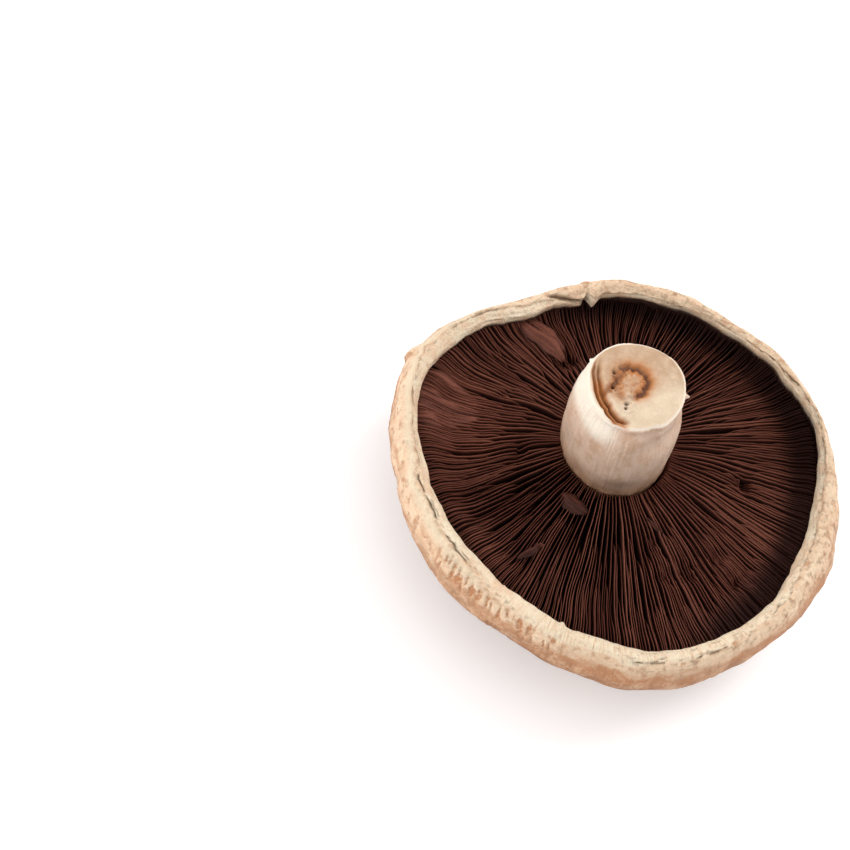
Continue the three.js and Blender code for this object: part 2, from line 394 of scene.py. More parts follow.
def cap_relief(azimuth, span):
    """Millimetres that the cap's surface stands out.

    The sum of lumps of three sizes, the skin's scales, the step down at the skin's edge with its curled
    fringe, the raised inner band and the tufts between fissures, less the tears and the fold's slot.
    """
    rim = smooth(4.0, 5.2, span) * (1.0 - smooth(8.9, 9.5, span))
    past = past_skin(azimuth, span)
    relief = 0.28 * round_noise(azimuth, span, 30, 1.1, 41, 2) * smooth(1.0, 4.0, span)
    rough = rim * (1.0 - 0.8 * bright_ridge(azimuth, span))
    relief = relief + 0.13 * rough * round_noise(azimuth, span, 105, 3.4, 45, 2)
    relief = relief + 0.05 * rough * round_noise(azimuth, span, 320, 7.0, 51)
    skin = smooth(1.5, 3.5, span) * (1.0 - smooth(4.6, 5.8, span))
    relief = relief + 0.20 * skin * smooth(-0.05, 0.20, scales(azimuth, span))
    height = 0.20 + 0.14 * wave(azimuth, 24, 87)
    relief = relief + height * (1.0 - 2.0 * smooth(-0.07, 0.07, past)) * rim
    curl = smooth(0.0, 0.5, wave(azimuth, 95, 89, 2))
    relief = relief + 0.24 * curl * bell(past, -0.16, 0.12) * rim
    band = stretch(azimuth, *RAISED_BAND, 0.5) * smooth(-0.05, 0.1, past) * (1.0 - smooth(1.3, 1.7, past))
    relief = relief + 0.45 * band
    scaly = stretch(azimuth, *FISSURES, 6.0) * smooth(5.0, 5.6, span) * (1.0 - smooth(-0.5, -0.1, past))
    relief = relief + 0.45 * scaly * smooth(-0.35, 0.0, fissures(azimuth, span))
    return relief - 0.55 * tears(azimuth, span) - 1.5 * fold_slot(azimuth, span)


def cap_marks(azimuth, span):
    """Point masks of the cap, each between 0 and 1: where each colour of the skin and flesh shows, and
    painted shade under the lip.
    """
    past = past_skin(azimuth, span)
    ragged = 0.30 * round_noise(azimuth, span, 44, 1.6, 101, 3)
    lower = mix(5.5, 4.9, stretch(azimuth, 140.0, 235.0, 25.0))
    scale = smooth(-0.05, 0.30, scales(azimuth, span)) * smooth(0.3, 1.2, span)
    inner = smooth(-0.10, 0.10, past + 0.4 * ragged)
    scaly = stretch(azimuth, *FISSURES, 6.0) * smooth(5.2, 5.5, span) * (1.0 - smooth(6.1, 6.5, span))
    brown = stretch(azimuth, *BROWN_BAND, 12.0) * bell(span + 1.0 * ragged, 5.40, 0.40)
    brown = brown * (0.25 + 0.90 * smooth(-0.3, 0.4, round_noise(azimuth, span, 46, 1.8, 115, 3)))
    blots = smooth(-0.1, 0.5, round_noise(azimuth, span, 62, 2.4, 111, 3)) * bell(span, 5.3, 0.7)
    rust = np.maximum(scaly * smooth(-0.05, -0.3, fissures(azimuth, span)), 0.9 * brown)
    specks = smooth(0.30, 0.50, round_noise(azimuth, span, 330, 8.0, 121)) * bell(past, 0.1, 0.24)
    near = np.maximum(stretch(azimuth, 28.0, 90.0, 8.0), 0.5 * stretch(azimuth, 140.0, 250.0, 15.0))
    specks = specks * np.maximum(near, 0.5 * stretch(azimuth, -70.0, 20.0, 8.0))
    flecks = smooth(0.45, 0.62, round_noise(azimuth, span, 290, 6.5, 131)) * smooth(5.6, 6.2, span)
    specks = specks + 0.38 * flecks * (1.0 - smooth(8.0, 8.6, span)) * stretch(azimuth, -75.0, 110.0, 15.0)
    # Painted shade: beyond this span the inner wall under the lip takes the gills' dark
    shaded = mix(9.0, 10.15, stretch(azimuth, *DEEP_LIP)) - 0.5 * stretch(azimuth, 78.0, 98.0, 14.0)
    shaded = shaded - 0.25 * stretch(azimuth, 2.0, 66.0, 14.0)
    return {
        "pale": smooth(lower - 0.5, lower + 0.7, span + ragged),
        "tan": smooth(3.7, 4.9, span + 1.3 * ragged),
        "inner": inner,
        "rust": np.maximum(rust, 0.6 * blots),
        # the crack mark is the dark of cracks and specks, and painted shade in the slot under the fold
        "crack": np.clip(tears(azimuth, span) * 1.3 + fold_slot(azimuth, span) + specks, 0.0, 1.0),
        "striae": inner * stretch(azimuth, *STRIAE, 14.0),
        # painted shade under the lip
        "under": smooth(-0.15, 0.40, span - shaded + 0.04 * round_noise(azimuth, span, 200, 3.0, 141)),
        "bright": bright_ridge(azimuth, span),
        "scale": scale * (1.0 - smooth(4.8, 5.6, span)),
    }


def close_ends(points, low, high):
    """The grid's points with two poles, and the triangles from each pole to the first and last ring."""
    count, columns = points.shape[:2]
    edge = np.arange(columns)
    beside = (edge + 1) % columns
    last = (count - 1) * columns
    pole = np.full(columns, count * columns)
    fans = [np.stack([pole, beside, edge], axis=-1),
            np.stack([pole + 1, last + edge, last + beside], axis=-1)]
    return np.concatenate([points.reshape(-1, 3), [low, high]]), np.concatenate(fans)


def with_poles(marks):
    """Each mark flattened, with its first and last value again for the two poles."""
    flat = {}
    for label, values in marks.items():
        values = values.reshape(-1, 3) if values.ndim == 3 else values.reshape(-1)
        flat[label] = np.concatenate([values, values[[0, -1]]])
    return flat


# Rings of the flesh under the gills, as shares of the way to the mouth
FLOOR_SHARES = (0.96, 0.9, 0.6, 0.3)


def make_cap():
    """The cap: its section at each azimuth, pushed out along its normals by the relief.

    A level floor of flesh closes it under the gills, and a pole closes the crown and another the floor.
    """
    columns = 1080
    azimuth = np.arange(columns) * 2.0 * np.pi / columns
    rows = ((0.0, 3.0, 14), (3.0, 5.0, 14), (5.0, 6.0, 10), (6.0, 8.9, 37))
    spans = [np.linspace(start, end, count, endpoint=False) for start, end, count in rows]
    spans = np.concatenate([*spans, np.linspace(8.9, 11.0, 9)])
    section = through(cap_section(azimuth), spans)
    radius = section[..., 0].T
    way = azimuth[None, :] + 0.0 * radius
    span = spans[:, None] + 0.0 * radius
    points = round_points(radius, way, section[..., 1].T)
    relief = cap_relief(way, span) * smooth(0.0, 0.6, span)
    points = points + grid_normals(points) * relief[..., None]
    points[..., 2] = np.maximum(points[..., 2], 0.0)
    mouth = mouth_radius(azimuth)
    floor = [round_points(share * mouth, azimuth, flesh_height(share)) for share in FLOOR_SHARES]
    points = np.concatenate([points, np.stack(floor)])
    count = len(points)
    travelled = np.linalg.norm(np.diff(section, axis=1), axis=-1).mean(axis=0)
    inside = np.full(len(FLOOR_SHARES), travelled.sum())
    travelled = REST_RADIUS + np.concatenate([[0.0], np.cumsum(travelled), inside])
    way = azimuth[None, :] + np.zeros((count, 1))
    span = np.concatenate([spans, np.full(len(FLOOR_SHARES), spans[-1])])[:, None] + 0.0 * way
    marks = cap_marks(way, span)
    marks["ring"] = round_points(PLACE_RADIUS, way, travelled[:, None])
    flat, fans = close_ends(points, [0.0, 0.0, 0.0], [0.0, 0.0, FLESH_HEIGHT])
    return make_mesh("cap_flesh", flat, grid_faces(count, columns), fans, with_poles(marks))


# The gills

def crest_height(azimuth, share):
    """Height of the gills' free edges: up from the stem, level, then to their outer ends under the lip."""
    rim = rim_height(azimuth)
    outer = rim - lobed(GILL_DROP, GILL_DROP_LOBES, azimuth)
    inner = mix(GILL_NEAR_STEM, GILL_CROWN, smooth(0.0, 0.25, share))
    crest = mix(mix(inner, GILL_MIDDLE, smooth(0.25, 0.6, share)), outer, smooth(0.7, 1.0, share))
    lip = rim - 0.55 * (side_radius(azimuth) - mouth_radius(azimuth))
    ends = lip - 0.6 - 2.6 * stretch(azimuth, *DEEP_LIP)
    return mix(crest, ends, smooth(0.82, 1.0, share))


def gill_place(azimuth, share, overlap=0.0):
    """x and y of a point that lies share of the way from the stem's foot to the mouth, with a slow sway."""
    sway = math.radians(settings().gill_sway) * np.sin(np.pi * share) * np.sin(GILL_SWAY_LOBES * azimuth)
    turned = azimuth + sway
    reach = mouth_radius(turned) + overlap
    x = mix(STEM_CENTRE[0] + GILL_START * np.cos(turned), reach * np.cos(turned), share)
    y = mix(STEM_CENTRE[1] + GILL_START * np.sin(turned), reach * np.sin(turned), share)
    return x, y


# Middle of the matted patch, as azimuth in degrees
MAT_AZIMUTH = 177.0

# Places on the gills: x, y and radius in millimetres, then a strength
PRESSED = [(-43.0, 1.0, 9.0, 1.0), (-37.0, -6.0, 7.0, 0.7), (-46.0, 10.0, 6.0, 0.7), (-32.0, 6.0, 5.0, 0.4)]
PITS = [(32.4, 9.1, 2.2, 4.4), (-26.4, -2.9, 2.4, 2.6), (-20.8, 29.0, 2.4, 3.8), (23.6, -21.3, 3.0, 2.0),
        (36.6, -19.6, 2.6, 2.2), (30.0, -15.0, 2.4, 1.6), (-33.7, 13.0, 2.4, 1.4), (13.4, -17.5, 2.6, 1.8),
        (-17.0, -31.0, 3.0, 1.8), (18.0, -25.0, 2.4, 1.4)]
WARM = [(-23.7, 14.3, 8.0, 0.8), (25.0, 19.0, 14.0, 0.7), (13.6, -38.0, 10.0, 0.5), (-40.0, -3.0, 9.0, 0.5),
        (5.0, -27.0, 6.0, 0.4), (38.0, -5.0, 12.0, 0.8), (-24.0, 22.0, 6.0, 0.5), (-1.0, -12.0, 8.0, 0.6)]
SHADY = [(6.0, 44.0, 20.0, 0.8), (40.0, 34.0, 12.0, 0.8), (-18.0, 42.0, 12.0, 0.6), (2.0, -40.0, 14.0, 0.3),
         (-28.0, -16.0, 12.0, 0.6), (28.0, -31.0, 14.0, 1.0)]


def patches(x, y, places):
    """Sum over the places of strength * exp(-(distance / radius)^2)."""
    total = 0.0 * x
    for px, py, radius, strength in places:
        total = total + strength * np.exp(-((x - px) ** 2 + (y - py) ** 2) / radius ** 2)
    return total


def tube_faces(count, segments, columns):
    """Quads of count separate tubes of points [count, segments, columns], with both ends of each closed.

    The section has an even number of points, and an end joins each point to its partner across the section.
    """
    side = grid_faces(segments, columns)[:, ::-1]
    pair = np.arange(columns // 2 - 1)
    across = np.stack([pair, columns - 1 - pair, columns - 2 - pair, pair + 1], axis=-1)
    one = np.concatenate([side, across[:, ::-1], across + (segments - 1) * columns])
    starts = np.arange(count) * segments * columns
    return (one[None] + starts[:, None, None]).reshape(-1, 4)


# Section of a gill, round from root to root: sideways in half thicknesses, how much it leans, how far it
# lies below the crest, and how dark it is painted, as painted shade deepening towards the root
BLADE_SECTION = [(-2.0, 0.0, 1.0, 1.0), (-1.6, 0.6, 0.15, 0.66), (-1.1, 0.9, 0.045, 0.38),
                 (-0.4, 1.0, 0.0, 0.0), (0.4, 1.0, 0.0, 0.0), (1.1, 0.9, 0.045, 0.38),
                 (1.6, 0.6, 0.15, 0.66), (2.0, 0.0, 1.0, 1.0)]


def gill_marks(depth, tone, ring):
    """The marks that the gills' material reads: how dark with painted shade, how light, and the place for
    its fibres.
    """
    return {"depth": depth.ravel(), "tone": tone.ravel(), "ring": ring.reshape(-1, 3)}


def ground_height(x, y):
    """Height of the flesh under a point of the gills."""
    return flesh_height(np.hypot(x, y) / mouth_radius(np.arctan2(y, x)))


def make_blades(name, count, phase, start, segments, thickness, seed):
    """One tier of gills, each a thin closed plate from its own start to the mouth.

    Its section has eight points, four on each side from the root up to the crest. The crest meanders and
    leans with its neighbours, dips where it is torn, and lies over where it is pressed flat.
    """
    random = np.random.default_rng(seed)
    number = np.arange(count)
    azimuth = 2.0 * np.pi * (number + phase + random.uniform(-0.13, 0.13, count)) / count
    begin = random.uniform(*start, (count, 1))
    share = mix(begin, 1.0, np.linspace(0.0, 1.0, segments)[None, :])
    way = azimuth[:, None] + 0.0 * share
    x, y = gill_place(way, share, GILL_OVERLAP)
    pressed = np.clip(patches(x, y, PRESSED), 0.0, 1.0)
    torn = patches(x, y, PITS) * (0.7 + 0.5 * value_noise(x / 1.2, y / 1.2, 201))
    own = random.uniform(-1.0, 1.0, (count, 1))
    held = smooth(0.0, 0.12, share) * (1.0 - smooth(0.93, 1.0, share))
    meander = 0.26 * round_noise(way, share, 16, 2.2, 211, 2)
    meander = (meander + 0.14 * value_noise(share * 9.0, own * 60.0, 221)) * held
    lean = 0.30 * round_noise(way, share, 40, 2.0, 231, 2) + 0.14 * own + 1.1 * pressed
    low = smooth(0.25, 0.85, value_noise(share * 3.0 + 20.0, own * 80.0, 245))
    tall = crest_height(way, share) + 0.22 * random.normal(0.0, 1.0, (count, 1)).clip(-2.0, 2.0) * held
    tall = tall + 0.35 * round_noise(way, share, 30, 2.5, 241, 2)
    tall = tall + 0.10 * value_noise(share * 30.0, own * 90.0, 251)
    tall = tall - torn - 0.35 * pressed - 1.3 * low * held * (1.0 - pressed)
    root = ground_height(x, y) - 0.2 + 5.0 * smooth(0.88, 0.99, share)
    rise = smooth(-0.01, 0.02, share) if start[1] == 0.0 else smooth(0.0, 0.28, share - begin) ** 0.7
    tall = mix(root + 1.5, tall, rise)
    outward = np.stack([np.gradient(x, axis=1), np.gradient(y, axis=1)], axis=-1)
    outward = outward / np.linalg.norm(outward, axis=-1, keepdims=True)
    half = 0.5 * thickness * (0.85 + 0.3 * random.uniform(-1.0, 1.0, (count, 1)) + 0.3 * pressed)
    half = half * (0.3 + 0.7 * rise)
    rings = []
    for side, leaning, below, _ in BLADE_SECTION:
        offset = meander + half * side + lean * leaning
        rings.append(np.stack([x - outward[..., 1] * offset, y + outward[..., 0] * offset,
                               tall - below * (tall - root)], axis=-1))
    points = np.stack(rings, axis=2)
    shade = 0.75 * stretch(way, -40.0, 112.0, 24.0) * smooth(0.72, 1.0, share)
    # Painted shade: the section's darkness, and more at the far side's outer ends under the lip
    depth = np.array([row[-1] for row in BLADE_SECTION]) + shade[:, :, None]
    tone = 0.45 + 0.36 * own + 0.34 * round_noise(way, share, 44, 2.4, 261, 3) + 0.45 * patches(x, y, WARM)
    tone = tone - 0.35 * patches(x, y, SHADY)
    tone = np.clip(tone + 0.40 * pressed - 0.3 * torn, 0.0, 1.0)[:, :, None] + 0.0 * depth
    depth = np.clip(depth * (1.0 - 0.7 * pressed[:, :, None]), 0.0, 1.0)
    ring = round_points(PLACE_RADIUS, way, 45.0 * share)[:, :, None, :].repeat(len(rings), axis=2)
    marks = gill_marks(depth, tone, ring)
    return make_mesh(name, points, tube_faces(count, segments, len(rings)), None, marks)


# Section of the ground under the gills: share of the way to the mouth, then millimetres over the flesh
BED_SECTION = [(0.0, 0.4), (0.02, 2.2), (0.2, 3.0), (0.5, 2.8), (0.8, 2.8), (0.94, 3.4), (0.96, 2.4),
               (0.85, 0.6), (0.4, 0.4)]


def make_gill_bed():
    """The ground that the gills grow from, dark with painted shade: a ring between the stem and the mouth,
    closed below.
    """
    columns = 240
    azimuth = np.arange(columns) * 2.0 * np.pi / columns
    rings = []
    for share, lift in BED_SECTION:
        x, y = gill_place(azimuth, share, 0.6)
        rings.append(np.stack([x, y, ground_height(x, y) + lift], axis=-1))
    points = np.stack(rings)
    count = len(rings)
    edge = np.arange(columns)
    beside = (edge + 1) % columns
    last = (count - 1) * columns
    closing = np.stack([last + edge, last + beside, beside, edge], axis=-1)
    way = azimuth[None, :] + np.zeros((count, 1))
    # painted shade: the whole ground takes the gills' darkest colour
    marks = gill_marks(np.ones(way.shape), np.full(way.shape, 0.3), round_points(PLACE_RADIUS, way, 0.0))
    faces = np.concatenate([grid_faces(count, columns), closing])[:, ::-1]
    return make_mesh("gill_bed", points, faces, None, marks)


def make_mat():
    """Gills matted together where they were pressed flat: a thin ribbed sheet that dips at its edges.

    It is a grid over the share of the way to the mouth and, at each share, a band of azimuth that widens
    outwards. It lies at the crests' height, with ribs from noise that is long outwards and narrow across.
    """
    rows, section = 70, 150
    u = np.linspace(0.0, 1.0, rows)[:, None]
    v = np.linspace(-1.0, 1.0, section)[None, :]
    share = mix(0.44, 0.985, u) + 0.05 * value_noise(v * 5.0 + 30.0, 0.0 * u, 601) * (1.0 - u)
    spread = mix(3.5, 15.0, smooth(0.0, 0.9, u)) * (1.0 + 0.15 * value_noise(u * 4.0, 0.0 * v, 602))
    way = np.radians(MAT_AZIMUTH + spread * v)
    x, y = gill_place(way, share, GILL_OVERLAP)
    across = PLACE_RADIUS * way
    ribs = value_noise(1.1 * across + 40.0, share * 6.0, 603)
    ribs = ribs + 0.8 * value_noise(2.3 * across, share * 10.0, 604)
    edge = np.maximum(smooth(0.62, 1.0, np.abs(v)), smooth(0.35, 0.0, u))
    height = crest_height(way, share) - 0.45 + 0.18 * ribs
    height = height + 0.25 * value_noise(way * 12.0, share * 9.0, 605) - 2.6 * edge
    top = np.stack([x, y, height], axis=-1)
    under = top - np.array([0.0, 0.0, 0.5])
    points = np.concatenate([top, under[:, ::-1]], axis=1)[None]
    # Painted shade: darker in the ribs' hollows, at the dipping edges and on the underside
    depth = np.clip(0.20 - 0.22 * ribs + 0.5 * edge, 0.0, 1.0)
    depth = np.concatenate([depth, 1.0 + 0.0 * depth], axis=1)
    tone = 0.34 + 0.30 * value_noise(way * 20.0, share * 8.0, 606)
    tone = np.clip(np.concatenate([tone, tone[:, ::-1]], axis=1), 0.0, 1.0)
    marks = gill_marks(depth, tone, points)
    return make_mesh("gill_mat", points, tube_faces(1, rows, 2 * section), None, marks)


# Grid, thickness in millimetres and underside's painted shade of a loose leaf
LEAF_ROWS = 26
LEAF_SECTION = 24
LEAF_THICKNESS = 0.45
LEAF_UNDERSIDE = 0.30

# Loose leaves: start, end, width, dome, ridges, seed, and twist in degrees
FLAP = [((-36.2, 36.0, 27.4), (-21.6, 27.0, 27.6), 5.4, 1.0, 4, 501, 20.0),
        ((-34.0, 37.4, 27.0), (-22.0, 30.4, 27.2), 3.0, 0.7, 3, 504, -10.0)]
SCRAPS = [((-19.6, -34.4, 26.6), (-15.0, -29.0, 27.6), 1.8, 0.8, 2, 511, 60.0),
          ((-16.4, -29.6, 27.2), (-13.6, -28.2, 27.9), 1.5, 0.6, 1, 514, -50.0),
          ((-13.0, -11.4, 26.3), (-5.4, -15.2, 26.8), 5.6, 1.6, 2, 517, 10.0),
          ((9.6, -10.6, 26.6), (15.0, -13.8, 26.6), 1.2, 0.5, 1, 521, 30.0)]


def leaf(start, end, width, dome, ridges, seed, twist):
    """A thin leaf from start to end: points [rows, section, 3], top from left to right and then bottom.

    Half its width is width / 2 * sin(pi * u)^0.5, with its edges frayed by noise. It arches by dome over
    its width and its length, cosines across it raise the ridges, it twists by twist degrees from end to
    end, and it bends sideways by noise.
    """
    u = np.linspace(0.02, 0.98, LEAF_ROWS)[:, None]
    v = np.linspace(-1.0, 1.0, LEAF_SECTION)[None, :]
    start = np.array(start)
    way = np.array(end) - start
    level = np.array([-way[1], way[0], 0.0]) / np.hypot(way[0], way[1])
    upward = np.array([0.0, 0.0, 1.0])
    arch = np.sin(np.pi * u)
    half = 0.5 * width * arch ** 0.5 * (1.0 + 0.25 * value_noise(u * 6.0, v * 0.0 + seed, seed))
    angle = math.radians(twist) * (u - 0.5)
    rise = dome * (1.0 - v ** 2) * arch ** 0.7
    rise = rise + 0.16 * np.cos(np.pi * ridges * (v + 0.10 * np.sin(5.0 * u)))
    rise = rise + 0.25 * value_noise(u * 5.0, v * 2.0 + 9.0, seed + 1)
    across = half * v * np.cos(angle)
    up = rise + half * v * np.sin(angle)
    bend = 0.12 * np.linalg.norm(way) * arch * value_noise(u * 1.5, 0.0 * v + 3.0, seed + 2)
    top = start + way * u[..., None] + level * (across + bend)[..., None] + upward * up[..., None]
    thin = LEAF_THICKNESS * (1.0 - 0.85 * np.abs(v) ** 3)[..., None] * upward
    return np.concatenate([top, (top - thin)[:, ::-1]], axis=1)


def make_leaves(name, leaves, tone, shade):
    """One object of several leaves of one tone. Their tops are unevenly dark and carry painted shade, more
    at the edges; their undersides carry painted shade too.
    """
    points = np.stack([leaf(*row) for row in leaves])
    count, rows, section = points.shape[:3]
    u = np.linspace(0.0, 1.0, rows)[:, None]
    v = np.linspace(-1.0, 1.0, section // 2)[None, :]
    number = np.arange(count)[:, None, None]
    uneven = 0.16 * value_noise(v * 6.0 + 7.0 * number, u * 2.0, 611)
    # Painted shade on the undersides, and on the tops by shade, more at the edges
    depth = np.full(points.shape[:3], LEAF_UNDERSIDE)
    depth[:, :, :section // 2] = np.clip(shade + uneven + 0.35 * v ** 4, 0.0, 1.0)
    marks = gill_marks(depth, np.full(depth.shape, tone), points)
    return make_mesh(name, points, tube_faces(count, rows, section), None, marks)


# The stem

# Rounding of the cut's edge, in millimetres, and its start as a share of the cut's radius
STEM_EDGE = 0.45
EDGE_START = 0.95

# Parts of the cut face, in millimetres from its middle: the core, and holes with their radius
CORE_MIDDLE = (-1.3, 0.7)
CORE_RADIUS = 4.7
HOLES = [(-1.0, -5.2, 0.6), (-0.9, -6.5, 0.4), (-6.1, 2.6, 0.5), (-5.4, -1.3, 0.35)]

# Stains down the side: azimuth and height, how wide in degrees and how tall, and a strength
STAINS = [(281.0, 33.0, 22.0, 2.6, 0.9), (272.0, 29.0, 16.0, 1.8, 0.6), (205.0, 37.0, 14.0, 3.0, 0.35),
          (238.0, 31.0, 14.0, 3.0, 0.4)]

# Lip of rind round the front of the cut: first and last azimuth, and the fade, in degrees
RIND_LIP = (240.0, 415.0, 16.0)

# Undercut on the right: azimuths in degrees, then depth, and drop and height of its middle, in millimetres
UNDERCUT = (-50.0, 40.0, 30.0)
UNDERCUT_DEPTH = 1.6
UNDERCUT_DROP = 6.5
UNDERCUT_HEIGHT = 4.2

# Loose scraps of rind under the cut: azimuth in degrees, then drop, height and depth in millimetres
TATTERS = [(9.0, 1.4, 0.7, 1.5), (12.0, 2.2, 0.4, 1.2), (158.0, 1.1, 0.45, 0.9)]

# Middle of the split in the cut face, as azimuth in degrees and radius in millimetres
SPLIT = [(150, 12.2), (170, 10.7), (186, 9.5), (210, 9.0), (232, 9.2), (250, 10.1), (262, 10.8),
         (282, 10.6)]


def along_split(azimuth):
    """1 at the middle of the split's stretch of azimuth, fading to 0 at its two ends."""
    return 1.0 - smooth(0.72, 1.0, np.abs(turn(azimuth, SPLIT_AZIMUTH)) / SPLIT_SPREAD)


def stem_side(height, azimuth, edge):
    """Radius of the stem's side, squared to the foot and cubed to the cut.

    Its top 7 mm are flatter beside the split and at the front.
    """
    waist = settings().stem_waist / MM
    top = settings().stem_top / MM
    low = (STEM_WAIST_HEIGHT - height) / (STEM_WAIST_HEIGHT - STEM_FOOT_HEIGHT)
    high = (height - STEM_WAIST_HEIGHT) / (edge - STEM_WAIST_HEIGHT)
    plain = np.where(low > 0.0, mix(waist, STEM_FOOT, np.maximum(low, 0.0) ** 2),
                     mix(waist, top, np.maximum(high, 0.0) ** 3))
    curl = np.maximum(0.0, 1.0 - (edge - height) / 7.0) ** 2
    flat = 0.4 * along_split(azimuth) + 0.7 * stretch(azimuth, 268.0, 302.0, 22.0)
    return lobed(plain, STEM_LOBES, azimuth) - curl * flat


def split_middle(azimuth):
    """Radius of the split's middle, straight between its places, with a small wander."""
    places = np.array(SPLIT)
    radius = np.interp(np.degrees(azimuth) % 360.0, places[:, 0], places[:, 1])
    return radius + 0.15 * wave(azimuth, 40, 301, 2)


def spots(x, y, places):
    """The largest of exp(-(distance / radius)^2) over the places."""
    total = 0.0 * x
    for px, py, radius in places:
        total = np.maximum(total, np.exp(-((x - px) ** 2 + (y - py) ** 2) / radius ** 2))
    return total


def core_place(x, y):
    """Ragged distance from the core's middle, in millimetres, and the azimuth there."""
    away = np.hypot(x - CORE_MIDDLE[0], y - CORE_MIDDLE[1])
    around = np.arctan2(y - CORE_MIDDLE[1], x - CORE_MIDDLE[0])
    return away - 0.55 * wave(around, 15, 311, 3), around


def core_side(x, y):
    """1 in the ragged brown band on the left of the core, which runs slantwise to the split's end."""
    across = x + 5.0 - 0.42 * (y - 0.5)
    ragged = 0.5 * value_noise(x / 1.1, y / 1.1, 325) + 0.3 * value_noise(x / 0.5, y / 0.5, 326)
    return bell(across + ragged, 0.0, 0.95) * smooth(-5.2, -3.4, y) * (1.0 - smooth(3.0, 4.6, y))


def core_tongue(x, y, width, low, high):
    """1 on the tongue of crumbs from the core towards the front edge."""
    return bell(x + 1.0 + 0.1 * y, 0.0, width) * smooth(-8.6, low, y) * (1.0 - smooth(-3.0, high, y))


def cut_relief(x, y):
    """Height of the cut face over its plane, from x and y in millimetres from its middle.

    The split is a shallow trough with two deeper lines and a low ridge on each side of it. The core is a
    ring-shaped groove round a crumbly mound, with a tongue of crumbs towards the front edge.
    """
    radius = np.hypot(x, y)
    azimuth = np.arctan2(y, x)
    along = along_split(azimuth)
    past = radius - split_middle(azimuth)
    relief = -1.4 * bell(past, -0.75, 0.42) - 1.2 * bell(past, 0.75, 0.40) - 0.7 * bell(past, 0.0, 0.9)
    relief = along * (relief + 0.55 * bell(past, -1.9, 0.7) + 0.2 * bell(past, 1.6, 0.6))
    core, around = core_place(x, y)
    open_side = 0.5 + 0.5 * stretch(around, -60.0, 115.0, 40.0)
    relief = relief - 1.05 * open_side * bell(core, CORE_RADIUS - 0.3, 0.85)
    relief = relief - 0.5 * core_side(x, y)
    crumbs = value_noise(x / 0.8, y / 0.8, 321) + 0.6 * value_noise(x / 0.4, y / 0.4, 322)
    tongue = core_tongue(x, y, 1.5, -7.0, -1.5)
    relief = relief + 0.30 * crumbs * np.maximum(1.0 - smooth(3.4, 5.4, core), tongue) + 0.35 * tongue
    relief = relief + 0.30 * bell(core, 0.0, 2.6) - 1.1 * spots(x, y, HOLES)
    lumps = 0.12 * value_noise(x / 2.4, y / 2.4, 331) + 0.07 * value_noise(x / 0.9, y / 0.9, 332)
    return relief + lumps + 0.03 * value_noise(x / 0.35, y / 0.35, 333)


def make_stem():
    """The stem: rings up its side, round its edge and in over the cut face, closed at foot and middle.

    Noise makes the side uneven. A lip of rind stands out round the front of the cut, the right side goes in
    below it, loose scraps stand out, and the cut face is tilted.
    """
    columns = 360
    azimuth = np.arange(columns) * 2.0 * np.pi / columns
    edge = settings().stem_height / MM - STEM_EDGE
    heights = [np.linspace(STEM_FOOT_HEIGHT, 46.0, 62, endpoint=False), np.linspace(46.0, edge, 44)]
    way, height = np.meshgrid(azimuth, np.concatenate(heights))
    lip = stretch(way, *RIND_LIP) * (0.75 + 0.35 * wave(way, 26, 345, 2))
    side = stem_side(height, way, edge) + 0.09 * round_noise(way, height, 200, 0.08, 341, 2)
    side = side + 0.26 * round_noise(way, height, 9, 0.08, 351, 2)
    side = side + lip * (0.38 * bell(height, edge - 0.1, 0.7) - 0.34 * bell(height, edge - 2.0, 1.2))
    undercut = UNDERCUT_DEPTH * stretch(way, *UNDERCUT)
    side = side - undercut * bell(height, edge - UNDERCUT_DROP, UNDERCUT_HEIGHT)
    for place, drop, tall, out in TATTERS:
        side = side + out * bell(turn(way, place), 0.0, 2.6) * bell(height, edge - drop, tall)
    reach = stem_side(np.full(columns, edge), azimuth, edge)
    shares = np.concatenate([[0.992, 0.98, 0.965, EDGE_START], np.linspace(0.932, 0.03, 76)])[:, None]
    radius = np.concatenate([side, shares * reach])
    rounding = STEM_EDGE * (1.0 - np.clip((shares - EDGE_START) / (1.0 - EDGE_START), 0.0, 1.0) ** 2)
    height = np.concatenate([height, edge + rounding + 0.0 * reach])
    cut = np.concatenate([0.0 * side, 1.0 + 0.0 * shares * reach])
    way = azimuth[None, :] + 0.0 * radius
    points = round_points(radius, way, height)
    x, y = points[..., 0], points[..., 1]
    share = radius / reach
    inside = smooth(0.995, 0.93, share) * cut
    brim = stretch(way, 240.0, 420.0, 20.0) * bell(share, 0.965, 0.022) * cut
    marks = with_poles(stem_marks(x, y, height, cut, share))
    tilt = (CUT_TILT[0] * x + CUT_TILT[1] * y) * smooth(STEM_FOOT_HEIGHT, edge, height)
    z = height + tilt + cut_relief(x, y) * inside + 0.35 * brim
    rise = np.minimum(height, edge) - STEM_FOOT_HEIGHT
    middle = [start + lean * rise for start, lean in zip(STEM_CENTRE, STEM_LEAN)]
    points = np.stack([middle[0] + x, middle[1] + y, z], axis=-1)
    flat, fans = close_ends(points, [*STEM_CENTRE, STEM_FOOT_HEIGHT], points[-1].mean(axis=0))
    return make_mesh("stem_flesh", flat, grid_faces(len(points), columns), fans, marks)


